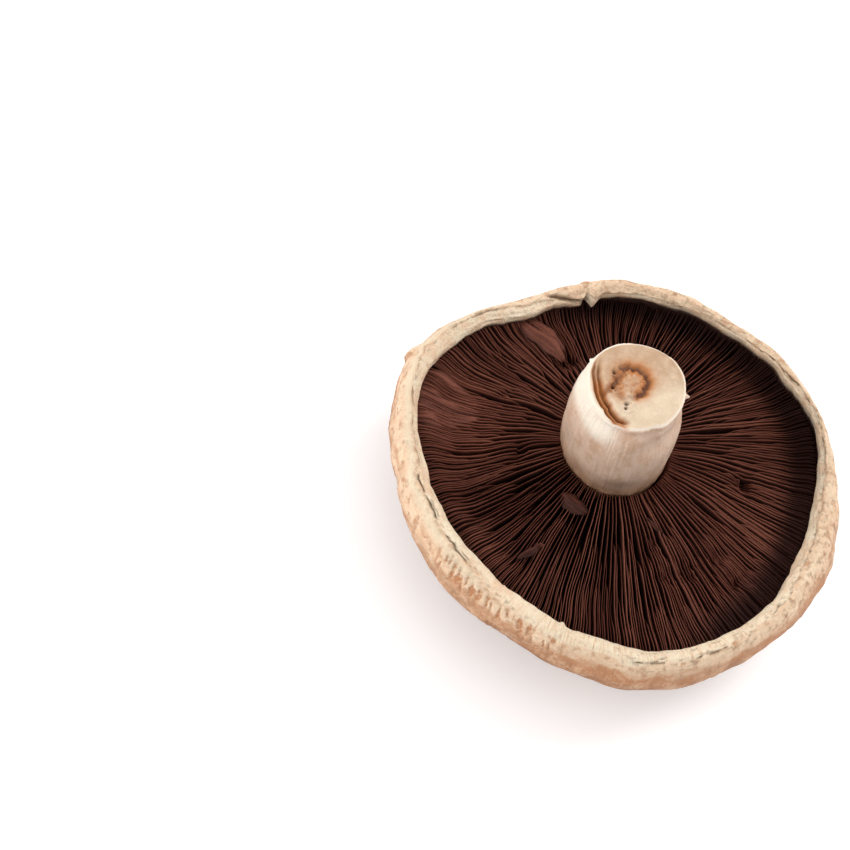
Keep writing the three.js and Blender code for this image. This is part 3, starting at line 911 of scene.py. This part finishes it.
def stem_marks(x, y, height, cut, share):
    """Point masks of the stem, each between 0 and 1: where each colour of the flesh shows; the deep mark is
    partly painted shade in the grooves.
    """
    radius = np.hypot(x, y)
    way = np.arctan2(y, x)
    past = radius - split_middle(way)
    along = along_split(way)
    strength = 0.35 + 0.65 * stretch(way, 200.0, 275.0, 30.0)
    lines = np.maximum(bell(past, 0.75, 0.40), bell(past, -0.75, 0.45)) + 0.9 * bell(past, 0.0, 1.1)
    core, around = core_place(x, y)
    ring = (0.55 + 0.5 * stretch(around, -50.0, 105.0, 35.0)) * bell(core, CORE_RADIUS - 0.3, 1.6)
    tongue = core_tongue(x, y, 1.4, -7.5, -1.0)
    crumbs = smooth(-0.3, 0.8, value_noise(x / 0.6, y / 0.6, 355))
    mound = (1.0 - smooth(3.0, 4.6, core)) * (0.32 + 0.40 * crumbs)
    halo = 0.22 * bell(core, 5.2, 2.4) * smooth(-6.0, 4.0, y)
    brown = strength * along * lines + ring + mound + halo + 0.75 * core_side(x, y)
    brown = np.clip(brown, 0.0, 1.0) * (1.0 - 0.8 * tongue)
    # Partly painted shade: darkest in the core's groove, strongest on its right and back, and in the
    # split's deepest lines
    arcs = 0.2 + 0.75 * stretch(around, -45.0, 46.0, 16.0) + 0.7 * stretch(around, 66.0, 126.0, 14.0)
    deep = 1.2 * bell(core, CORE_RADIUS - 0.5, 0.70) * arcs + 0.6 * core_side(x, y)
    deep = deep + 0.7 * along * bell(past, -0.75, 0.28) * stretch(way, 225.0, 284.0, 12.0)
    deep = deep + 0.5 * along * bell(past, 0.75, 0.25) * stretch(way, 190.0, 262.0, 12.0)
    specks = smooth(0.2, 0.7, value_noise(x / 0.45, y / 0.7, 361)) * bell(core, 4.3, 1.5)
    dark = 0.85 * spots(x, y, HOLES) + 0.7 * specks * stretch(around, 130.0, 225.0, 20.0)
    shoulder = stretch(way, 128.0, 250.0, 26.0)
    level = height + 1.3 * round_noise(way, height, 12, 0.1, 371, 2)
    white = shoulder * smooth(46.5, 51.5, level) * (1.0 - cut) + cut * smooth(0.95, 0.985, share)
    white = white + cut * shoulder * smooth(1.2, 2.4, past)
    stains = 0.0 * x
    for place, middle, wide, tall, weight in STAINS:
        stains = stains + weight * bell(turn(way, place), 0.0, wide) * bell(height, middle, tall)
    # Rises from the front right of the cut face to its back left: tan at the back left, lighter at the
    # front right
    back_left_ramp = cut * smooth(-6.0, 9.0, y - 0.5 * x)
    return {
        "cut": cut,
        "brown": brown * cut,
        "deep": np.clip(deep, 0.0, 1.0) * cut,
        "dark": np.clip(dark, 0.0, 1.0) * cut,
        "white": np.clip(white, 0.0, 1.0),
        "stain": np.clip(stains, 0.0, 1.0) * (1.0 - cut),
        "back_left_ramp": back_left_ramp,
        "foot": smooth(36.0, 25.0, height) * (1.0 - cut),
        "ring": round_points(STEM_PLACE, way, height + cut * (STEM_PLACE - radius)),
    }


# Shader helpers

def new_node(tree, kind, **values):
    """A new node in the tree with its properties set."""
    node = tree.nodes.new(kind)
    for label, value in values.items():
        setattr(node, label, value)
    return node


def socket_value(tree, target, value):
    """Links or sets the socket. A name stands for the setting or the point attribute called so."""
    if isinstance(value, str):
        look = settings()
        value = (*getattr(look, value), 1.0) if hasattr(look, value) else attribute(tree, value)
    if isinstance(value, bpy.types.NodeSocket):
        tree.links.new(value, target)
    else:
        target.default_value = value


def attribute(tree, label, vector=False):
    """The socket that reads a point attribute of the mesh."""
    node = new_node(tree, "ShaderNodeAttribute", attribute_name=label)
    return node.outputs["Vector" if vector else "Fac"]


def math_node(tree, operation, a, b, clamp=False):
    """a and b put through a Math node."""
    node = new_node(tree, "ShaderNodeMath", operation=operation, use_clamp=clamp)
    socket_value(tree, node.inputs[0], a)
    socket_value(tree, node.inputs[1], b)
    return node.outputs[0]


def product(tree, a, b):
    """a times b."""
    return math_node(tree, "MULTIPLY", a, b)


def blend_colour(tree, factor, a, b):
    """Colour a with colour b laid over it by the factor."""
    node = new_node(tree, "ShaderNodeMix", data_type="RGBA")
    fill_sockets(tree, node.inputs, {"Factor": factor, "A": a, "B": b})
    return node.outputs["Result"]


def paint(tree, base, layers):
    """The base colour with layers laid over it in turn, each an amount, a mask and a colour."""
    for amount, mask, over in layers:
        factor = mask if amount == 1.0 else product(tree, mask, amount)
        base = blend_colour(tree, factor, base, over)
    return base


def remap(tree, value, low, high, to_low=0.0, to_high=1.0):
    """The value moved smoothly from low and high to the two new ends, and held there."""
    node = new_node(tree, "ShaderNodeMapRange", interpolation_type="SMOOTHSTEP")
    fill_sockets(tree, node.inputs, {"Value": value, "From Min": low, "From Max": high,
                                     "To Min": to_low, "To Max": to_high})
    return node.outputs["Result"]


def fill_sockets(tree, sockets, values):
    """Links or sets each of the sockets that values has a label for."""
    for label, value in values.items():
        socket_value(tree, sockets[label], value)


def noise_node(tree, vector, scale, detail, roughness, distortion=0.0):
    """Noise between 0 and 1 from a Noise Texture node."""
    node = new_node(tree, "ShaderNodeTexNoise")
    fill_sockets(tree, node.inputs, {"Vector": vector, "Scale": scale, "Detail": detail,
                                     "Roughness": roughness, "Distortion": distortion})
    return node.outputs["Fac"]


def start_group(name, values, masks):
    """A node group with a vector and plain values coming in and masks going out, and its two ends."""
    tree = bpy.data.node_groups.new(name, "ShaderNodeTree")
    tree.interface.new_socket("Vector", in_out="INPUT", socket_type="NodeSocketVector")
    for label, value in values.items():
        socket = tree.interface.new_socket(label, in_out="INPUT", socket_type="NodeSocketFloat")
        socket.default_value = value
    for label in masks:
        tree.interface.new_socket(label, in_out="OUTPUT", socket_type="NodeSocketFloat")
    return tree, new_node(tree, "NodeGroupInput").outputs, new_node(tree, "NodeGroupOutput").inputs


def place_group(tree, group, vector, values):
    """The outputs of the group placed in a material, with its vector and its values."""
    node = new_node(tree, "ShaderNodeGroup", node_tree=group)
    fill_sockets(tree, node.inputs, {"Vector": vector, **values})
    return node.outputs


def fibre_group():
    """Node group: streaks along one way of the surface, from a vector in millimetres."""
    name = "Mushroom fibres"
    if name in bpy.data.node_groups:
        return bpy.data.node_groups[name]
    tree, inputs, outputs = start_group(name, {"Across": 1.5, "Along": 0.15}, ("Fibre", "Fleck"))
    scale = new_node(tree, "ShaderNodeCombineXYZ")
    for axis, label in (("X", "Across"), ("Y", "Across"), ("Z", "Along")):
        tree.links.new(inputs[label], scale.inputs[axis])
    stretched = new_node(tree, "ShaderNodeVectorMath", operation="MULTIPLY")
    tree.links.new(inputs["Vector"], stretched.inputs[0])
    tree.links.new(scale.outputs["Vector"], stretched.inputs[1])
    noise = noise_node(tree, stretched.outputs[0], 1.0, 4.0, 0.6, 0.3)
    tree.links.new(remap(tree, noise, 0.3, 0.7), outputs["Fibre"])
    tree.links.new(remap(tree, noise, 0.62, 0.74), outputs["Fleck"])
    return tree


def fibres(tree, vector, across, along):
    """The fibre group placed in a material, with its own widths in cells per millimetre."""
    outputs = place_group(tree, fibre_group(), vector, {"Across": across, "Along": along})
    return outputs["Fibre"], outputs["Fleck"]


def mottle_group():
    """Node group: soft blotches between 0 and 1, from a vector in metres."""
    name = "Mushroom mottle"
    if name in bpy.data.node_groups:
        return bpy.data.node_groups[name]
    tree, inputs, outputs = start_group(name, {"Scale": 200.0}, ("Mottle",))
    noise = noise_node(tree, inputs["Vector"], inputs["Scale"], 5.0, 0.62)
    tree.links.new(remap(tree, noise, 0.34, 0.66), outputs["Mottle"])
    return tree


def mottle(tree, scale):
    """The mottle group placed in a material on Object coordinates."""
    place = new_node(tree, "ShaderNodeTexCoord")
    return place_group(tree, mottle_group(), place.outputs["Object"], {"Scale": scale})["Mottle"]


def start_material(name, roughness, subsurface, radius, specular=0.35):
    """A new material with its Principled shader, and the shader's plain values."""
    material = bpy.data.materials.new(name)
    material.use_nodes = True
    shader = material.node_tree.nodes["Principled BSDF"]
    fill_sockets(material.node_tree, shader.inputs, {
        "Roughness": roughness, "Specular IOR Level": specular, "Subsurface Weight": subsurface,
        "Subsurface Radius": (1.0, 0.55, 0.3), "Subsurface Scale": radius})
    return material, material.node_tree, shader


def finish_material(material, base, height, strength, distance):
    """The material with its base colour, and a Bump node from the height to its normal."""
    tree = material.node_tree
    shader = tree.nodes["Principled BSDF"]
    bump = new_node(tree, "ShaderNodeBump")
    fill_sockets(tree, bump.inputs, {"Strength": strength, "Distance": distance, "Height": height})
    fill_sockets(tree, shader.inputs, {"Base Color": base, "Normal": bump.outputs["Normal"]})
    return material


def cap_material():
    """Brown fibrous skin, tan on the shoulder, mottled creamy flesh where the rim rolls in, and painted
    shade under the lip.
    """
    material, tree, _ = start_material("cap_skin", 0.62, 0.08, 0.0012)
    ring = attribute(tree, "ring", True)
    radial, radial_fleck = fibres(tree, ring, 1.1, 0.12)
    comb, comb_line = fibres(tree, ring, 2.6, 0.3)
    round_way, round_fleck = fibres(tree, ring, 0.35, 2.2)
    broad, blotch, spot, fine = (mottle(tree, scale) for scale in (70.0, 190.0, 420.0, 1000.0))
    skin = paint(tree, blend_colour(tree, radial, "skin_dark", "skin_colour"), (
        (0.45, broad, "skin_light"),
        (0.5, remap(tree, fine, 0.55, 0.9), "skin_dark"),
        (0.6, radial_fleck, "skin_light")))
    tan = paint(tree, blend_colour(tree, blotch, "tan_colour", "tan_light"), (
        (0.35, remap(tree, radial, 0.5, 1.0), "skin_colour"),
        (0.5, remap(tree, fine, 0.6, 0.95), "skin_colour")))
    outer = paint(tree, blend_colour(tree, blotch, "tan_light", "rim_colour"), (
        (0.3, remap(tree, fine, 0.5, 0.9), "rim_light"),
        (0.5, round_fleck, "tan_colour"),
        (0.6, remap(tree, spot, 0.55, 0.95), "tan_colour"),
        (0.7, remap(tree, spot, 0.86, 1.0), "rust_colour")))
    band = paint(tree, blend_colour(tree, blotch, "rim_colour", "rim_light"), (
        (0.35, remap(tree, comb, 0.4, 0.9), "tan_light"),
        (0.25, remap(tree, fine, 0.25, 0.08), "tan_colour")))
    cream = paint(tree, outer, ((1.0, "inner", band), (0.2, round_way, "rim_light")))
    base = paint(tree, skin, (
        (1.0, "tan", tan),
        (1.0, product(tree, "scale", remap(tree, radial, 0.0, 1.0, 0.1, 0.45)), "skin_light"),
        (1.0, "pale", cream),
        (0.7, "bright", "rim_pale_and_highlight"),
        # the ridge's colour: partly pale flesh, partly painted highlight
        (0.6, "striae", "rim_light"),
        (0.65, product(tree, "striae", remap(tree, comb, 0.45, 1.0)), "tan_light"),
        (0.7, product(tree, "striae", comb_line), "crack_colour"),
        (1.0, product(tree, "rust", remap(tree, fine, 0.1, 0.6, 0.5, 1.0)), "rust_colour"),
        (0.9, "crack", "crack_colour"),
        # painted shade under the lip, in the gills' dark
        (1.0, "under", "gill_dark_and_shade")))
    height = math_node(tree, "ADD", fine, product(tree, spot, -0.6))
    for part in (product(tree, radial, 0.35), product(tree, "striae", comb)):
        height = math_node(tree, "ADD", height, part)
    return finish_material(material, base, height, 0.6, 0.0003)


def gill_material():
    """Dark chocolate plates with lighter red-brown free edges, nearly matt, darkened by painted shade
    towards their roots and under the lip.
    """
    material, tree, _ = start_material("gill_flesh", 0.6, 0.0, 0.001, 0.12)
    across, fleck = fibres(tree, attribute(tree, "ring", True), 1.8, 0.25)
    tone = math_node(tree, "ADD", "tone", product(tree, mottle(tree, 90.0), 0.25), True)
    base = paint(tree, blend_colour(tree, tone, "gill_colour", "gill_light"), (
        (0.3, across, "gill_dark_and_shade"),
        (0.3, fleck, "gill_light"),
        # painted shade from the depth mark
        (1.0, remap(tree, "depth", 0.0, 0.6), "gill_dark_and_shade")))
    return finish_material(material, base, across, 0.3, 0.0002)


def stem_material():
    """Fibrous flesh: cream and browned on the cut with painted shade in its grooves, bright at the loose
    rind, pinkish grey down the side.
    """
    material, tree, _ = start_material("stem_flesh", 0.55, 0.15, 0.002)
    long_way, _ = fibres(tree, attribute(tree, "ring", True), 0.55, 0.12)
    blotch, fine = mottle(tree, 240.0), mottle(tree, 1300.0)
    mixed = math_node(tree, "ADD", product(tree, long_way, 0.5), product(tree, blotch, 0.5))
    mixed = remap(tree, mixed, 0.15, 0.85)
    foot = blend_colour(tree, product(tree, long_way, 0.7), "stem_foot", "stem_tan")
    rind = blend_colour(tree, product(tree, blotch, 0.4), "stem_white", "stem_light")
    side = paint(tree, blend_colour(tree, mixed, "stem_grey", "stem_colour"), (
        (0.45, remap(tree, blotch, 0.5, 0.0), "stem_tan"),
        (0.95, "foot", foot),
        (1.0, "white", rind),
        (0.75, "stain", "stem_stain")))
    cut = paint(tree, blend_colour(tree, blotch, "cut_colour", "cut_light"), (
        (0.2, fine, "stem_tan"),
        (1.0, remap(tree, "back_left_ramp", 0.45, 0.0, 0.0, 0.65), "cut_light"),
        (0.5, "back_left_ramp", "cut_tan"),
        (1.0, "white", rind)))
    base = paint(tree, side, (
        (1.0, "cut", cut),
        (1.0, "brown", "cut_brown"),
        # dark brown with painted shade in the grooves
        (1.0, "deep", "cut_dark_and_shade"),
        (1.0, "dark", "cut_dark")))
    height = math_node(tree, "ADD", product(tree, long_way, 0.6), fine)
    return finish_material(material, base, height, 0.4, 0.0002)


# Settings shown in the panel

def size(name, description, default):
    """A size in metres."""
    return FloatProperty(name=name, description=description, default=default, min=0.0, unit="LENGTH")


def plain_number(name, description, default):
    """A plain number."""
    return FloatProperty(name=name, description=description, default=default)


def swatch(name, description, default):
    """A colour in linear red, green and blue."""
    return FloatVectorProperty(name=name, description=description, default=default, subtype="COLOR", size=3,
                               min=0.0, max=1.0)


class MushroomSettings(bpy.types.PropertyGroup):
    """Sizes and colours of the mushroom, its light and its camera."""

    side_radius: size("Side radius", "Mean radius of the cap where it is widest", 0.0589)
    mouth_radius: size("Mouth radius", "Mean radius of the gill opening", 0.0523)
    cap_height: size("Cap height", "From the crown to the top of the rim", 0.034)
    stem_waist: size("Stem waist", "Largest radius of the stem", 0.0146)
    stem_top: size("Stem top", "Radius of the cut face", 0.0124)
    stem_height: size("Stem height", "Middle of the cut face over the crown", 0.0561)
    full_gills: IntProperty(name="Full gills", description="Gills that reach the stem", default=126, min=12)
    gill_thickness: size("Gill thickness", "Thickness of a gill's plate", 0.00022)
    gill_sway: plain_number("Gill sway", "Sideways bend of the gills, in degrees", 0.9)
    skin_colour: swatch("Skin", "Brown of the cap's skin", (0.185, 0.064, 0.018))
    skin_light: swatch("Light skin", "Paler flecks of the skin", (0.30, 0.135, 0.052))
    skin_dark: swatch("Dark skin", "Dark fibres of the skin", (0.085, 0.028, 0.010))
    tan_colour: swatch("Shoulder", "Tan of the cap's shoulder", (0.32, 0.15, 0.068))
    tan_light: swatch("Light shoulder", "Paler tan of the shoulder", (0.60, 0.38, 0.235))
    rim_colour: swatch("Rim", "Cream of the rolled rim", (0.69, 0.495, 0.34))
    rim_light: swatch("Light rim", "Palest flesh of the rim", (0.76, 0.665, 0.505))
    # Ridge colour, partly pale flesh and partly painted highlight
    rim_pale_and_highlight: swatch("Rim ridge", "Smooth pale ridge of the rim", (0.66, 0.575, 0.425))
    rust_colour: swatch("Scales", "Rusty brown between the scales", (0.41, 0.185, 0.082))
    crack_colour: swatch("Cracks", "Dark of the rim's cracks", (0.14, 0.085, 0.045))
    gill_colour: swatch("Gills", "Free edges of the gills", (0.115, 0.032, 0.02))
    gill_light: swatch("Light gills", "Lighter red-brown gills", (0.225, 0.078, 0.05))
    # Painted shade between the gills, under the lip and on their ground, and the gills' dark fibres
    gill_dark_and_shade: swatch("Gill roots", "Dark between the gills", (0.03, 0.01, 0.0075))
    stem_colour: swatch("Stem", "Paler streaks of the side", (0.62, 0.455, 0.355))
    stem_light: swatch("Light stem", "Shaded part of the rind", (0.74, 0.63, 0.53))
    stem_grey: swatch("Darker stem", "Grey-brown of the side", (0.57, 0.41, 0.315))
    stem_foot: swatch("Stem foot", "Brown of the stem's foot", (0.23, 0.105, 0.047))
    stem_tan: swatch("Stem stains", "Tan stains", (0.47, 0.28, 0.17))
    stem_stain: swatch("Dark stain", "Darker stain low on the stem", (0.17, 0.105, 0.075))
    stem_white: swatch("Rind", "Bright loose rind", (0.76, 0.69, 0.59))
    cut_colour: swatch("Cut face", "Cream of the cut face", (0.44, 0.315, 0.21))
    cut_light: swatch("Light cut face", "Palest of the cut face", (0.64, 0.525, 0.39))
    cut_tan: swatch("Tanned cut face", "Tan of the cut face's upper part", (0.42, 0.26, 0.155))
    cut_brown: swatch("Browned flesh", "Brown in the split and round the core", (0.44, 0.175, 0.056))
    # Dark brown of the flesh and painted shade in the grooves
    cut_dark_and_shade: swatch("Dark flesh", "Darkest brown round the core", (0.13, 0.045, 0.02))
    cut_dark: swatch("Holes", "Dark of the small holes", (0.05, 0.025, 0.012))
    elevation: plain_number("Camera elevation", "Above the horizon, in degrees", 58.0)
    roll: plain_number("Camera roll", "Clockwise tilt of the camera, in degrees", 18.0)
    lens: plain_number("Lens", "Focal length in millimetres", 85.0)
    key_power: plain_number("Key light", "Power of the soft key light, in watts", 5.1)
    sky: plain_number("Room light", "Strength of the even light from all round", 1.0)


# Camera and light

# The picture's side in pixels and the sensor's in millimetres. The camera aims AIM, in millimetres, at
# the pixel AIM_PIXEL, where a pixel is AIM_PIXEL_SIZE millimetres wide.
IMAGE_SIZE = 850
SENSOR = 36.0
AIM = (0.0, 0.0, 28.0)
AIM_PIXEL = (620.8, 469.6)
AIM_PIXEL_SIZE = 0.2586

# Area lights: name, place in metres, side in metres, and power as a share of the key's
LIGHTS = [("key", (0.45, 0.50, 0.75), 0.55, 1.0), ("fill", (-0.80, -0.25, 0.30), 0.50, 0.75)]
FLOOR_HALF = 2500.0


class MUSHROOM_OT_stage(bpy.types.Operator):
    """Make the camera, the pale floor and the soft studio light"""

    bl_idname = "mushroom.stage"
    bl_label = "Stage, light and camera"

    def execute(self, context):
        self.add_camera(context)
        self.add_floor(context)
        self.add_light(context)
        return {"FINISHED"}

    def add_camera(self, context):
        """The camera looks down at the elevation and rolls. From its place AIM falls on AIM_PIXEL."""
        look = settings()
        elevation = math.radians(look.elevation)
        roll = math.radians(look.roll)
        forward = np.array([0.0, math.cos(elevation), -math.sin(elevation)])
        level = np.array([1.0, 0.0, 0.0])
        upward = np.cross(level, forward)
        right = math.cos(roll) * level + math.sin(roll) * upward
        above = -math.sin(roll) * level + math.cos(roll) * upward
        focal = look.lens / SENSOR * IMAGE_SIZE
        across = (AIM_PIXEL[0] - IMAGE_SIZE / 2) / focal
        up = (IMAGE_SIZE / 2 - AIM_PIXEL[1]) / focal
        ray = across * right + up * above + forward
        place = (np.array(AIM) - ray * focal * AIM_PIXEL_SIZE) * MM
        data = bpy.data.cameras.new("camera")
        data.lens = look.lens
        data.sensor_width = SENSOR
        data.clip_start = 0.01
        data.clip_end = 10.0
        camera = bpy.data.objects.new("camera", data)
        axes = Matrix([right, above, -forward]).transposed()
        camera.matrix_world = Matrix.Translation(Vector(place)) @ axes.to_4x4()
        context.scene.collection.objects.link(camera)
        context.scene.camera = camera

    def add_floor(self, context):
        """A plain pale sheet, level with the crown, that gives off a little light of its own."""
        corners = [(x * FLOOR_HALF, y * FLOOR_HALF, 0.0) for x, y in ((-1, -1), (1, -1), (1, 1), (-1, 1))]
        floor = make_mesh("floor", corners, np.array([[0, 1, 2, 3]]))
        material, _, shader = start_material("floor_white", 0.9, 0.0, 0.001, 0.1)
        fill_sockets(material.node_tree, shader.inputs, {
            "Base Color": (0.95, 0.94, 0.955, 1.0), "Emission Color": (1.0, 0.98, 0.975, 1.0),
            "Emission Strength": 0.14})
        floor.data.materials.append(material)

    def add_light(self, context):
        """Even light from all round, a large soft key from behind on the right and a weak fill."""
        look = settings()
        world = bpy.data.worlds.new("studio")
        world.use_nodes = True
        background = world.node_tree.nodes["Background"]
        background.inputs["Color"].default_value = (1.0, 0.985, 0.97, 1.0)
        background.inputs["Strength"].default_value = look.sky
        context.scene.world = world
        for name, place, side, share in LIGHTS:
            data = bpy.data.lights.new(name, "AREA")
            data.energy = share * look.key_power
            data.size = side
            data.color = (1.0, 0.965, 0.93)
            light = bpy.data.objects.new(name, data)
            light.location = place
            light.rotation_euler = (-Vector(place)).to_track_quat("-Z", "Y").to_euler()
            context.scene.collection.objects.link(light)
        context.scene.view_settings.view_transform = "Standard"


class MUSHROOM_OT_cap(bpy.types.Operator):
    """Make the cap with its rolled-in rim"""

    bl_idname = "mushroom.cap"
    bl_label = "Cap"

    def execute(self, context):
        add_piece(make_cap(), "cap", cap_material())
        return {"FINISHED"}


class MUSHROOM_OT_gills(bpy.types.Operator):
    """Make the gills: the ground that they grow from and three tiers of thin plates"""

    bl_idname = "mushroom.gills"
    bl_label = "Gills"

    def execute(self, context):
        look = settings()
        material = gill_material()
        full = look.full_gills
        thick = look.gill_thickness / MM
        add_piece(make_gill_bed(), "gills", material)
        tiers = (("gills_full", full, 0.0, (0.0, 0.0), 80, thick, 401),
                 ("gills_half", full, 0.5, HALF_START, 66, thick, 402),
                 ("gills_short", 2 * full, 0.5, SHORT_START, 46, 0.9 * thick, 403))
        for name, count, phase, start, segments, thickness, seed in tiers:
            blades = make_blades(name, count, phase, start, segments, thickness, seed)
            add_piece(blades, "gills", material)
        add_piece(make_mat(), "gills", material)
        add_piece(make_leaves("gill_flap", FLAP, 0.5, 0.18), "gills", material)
        add_piece(make_leaves("gill_scraps", SCRAPS, 0.35, 0.40), "gills", material)
        return {"FINISHED"}


class MUSHROOM_OT_stem(bpy.types.Operator):
    """Make the stem with its cut face and split"""

    bl_idname = "mushroom.stem"
    bl_label = "Stem"

    def execute(self, context):
        add_piece(make_stem(), "stem", stem_material())
        return {"FINISHED"}


class MUSHROOM_PT_panel(bpy.types.Panel):
    """Sizes, colours and the buttons that make each piece"""

    bl_idname = "MUSHROOM_PT_panel"
    bl_label = "Portobello mushroom"
    bl_space_type = "VIEW_3D"
    bl_region_type = "UI"
    bl_category = "Mushroom"

    def draw(self, context):
        for name in MushroomSettings.__annotations__:
            self.layout.prop(context.scene.mushroom, name)
        for operator in OPERATORS:
            self.layout.operator(operator.bl_idname)


OPERATORS = (MUSHROOM_OT_stage, MUSHROOM_OT_cap, MUSHROOM_OT_gills, MUSHROOM_OT_stem)
CLASSES = (MushroomSettings, *OPERATORS, MUSHROOM_PT_panel)


def register():
    """Add the settings, the operators and the panel."""
    for item in CLASSES:
        bpy.utils.register_class(item)
    bpy.types.Scene.mushroom = PointerProperty(type=MushroomSettings)


def unregister():
    """Take them away again."""
    del bpy.types.Scene.mushroom
    for item in reversed(CLASSES):
        bpy.utils.unregister_class(item)


def main():
    """Register the add-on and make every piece."""
    register()
    bpy.ops.mushroom.stage()
    bpy.ops.mushroom.cap()
    bpy.ops.mushroom.gills()
    bpy.ops.mushroom.stem()


if __name__ == "__main__":
    main()
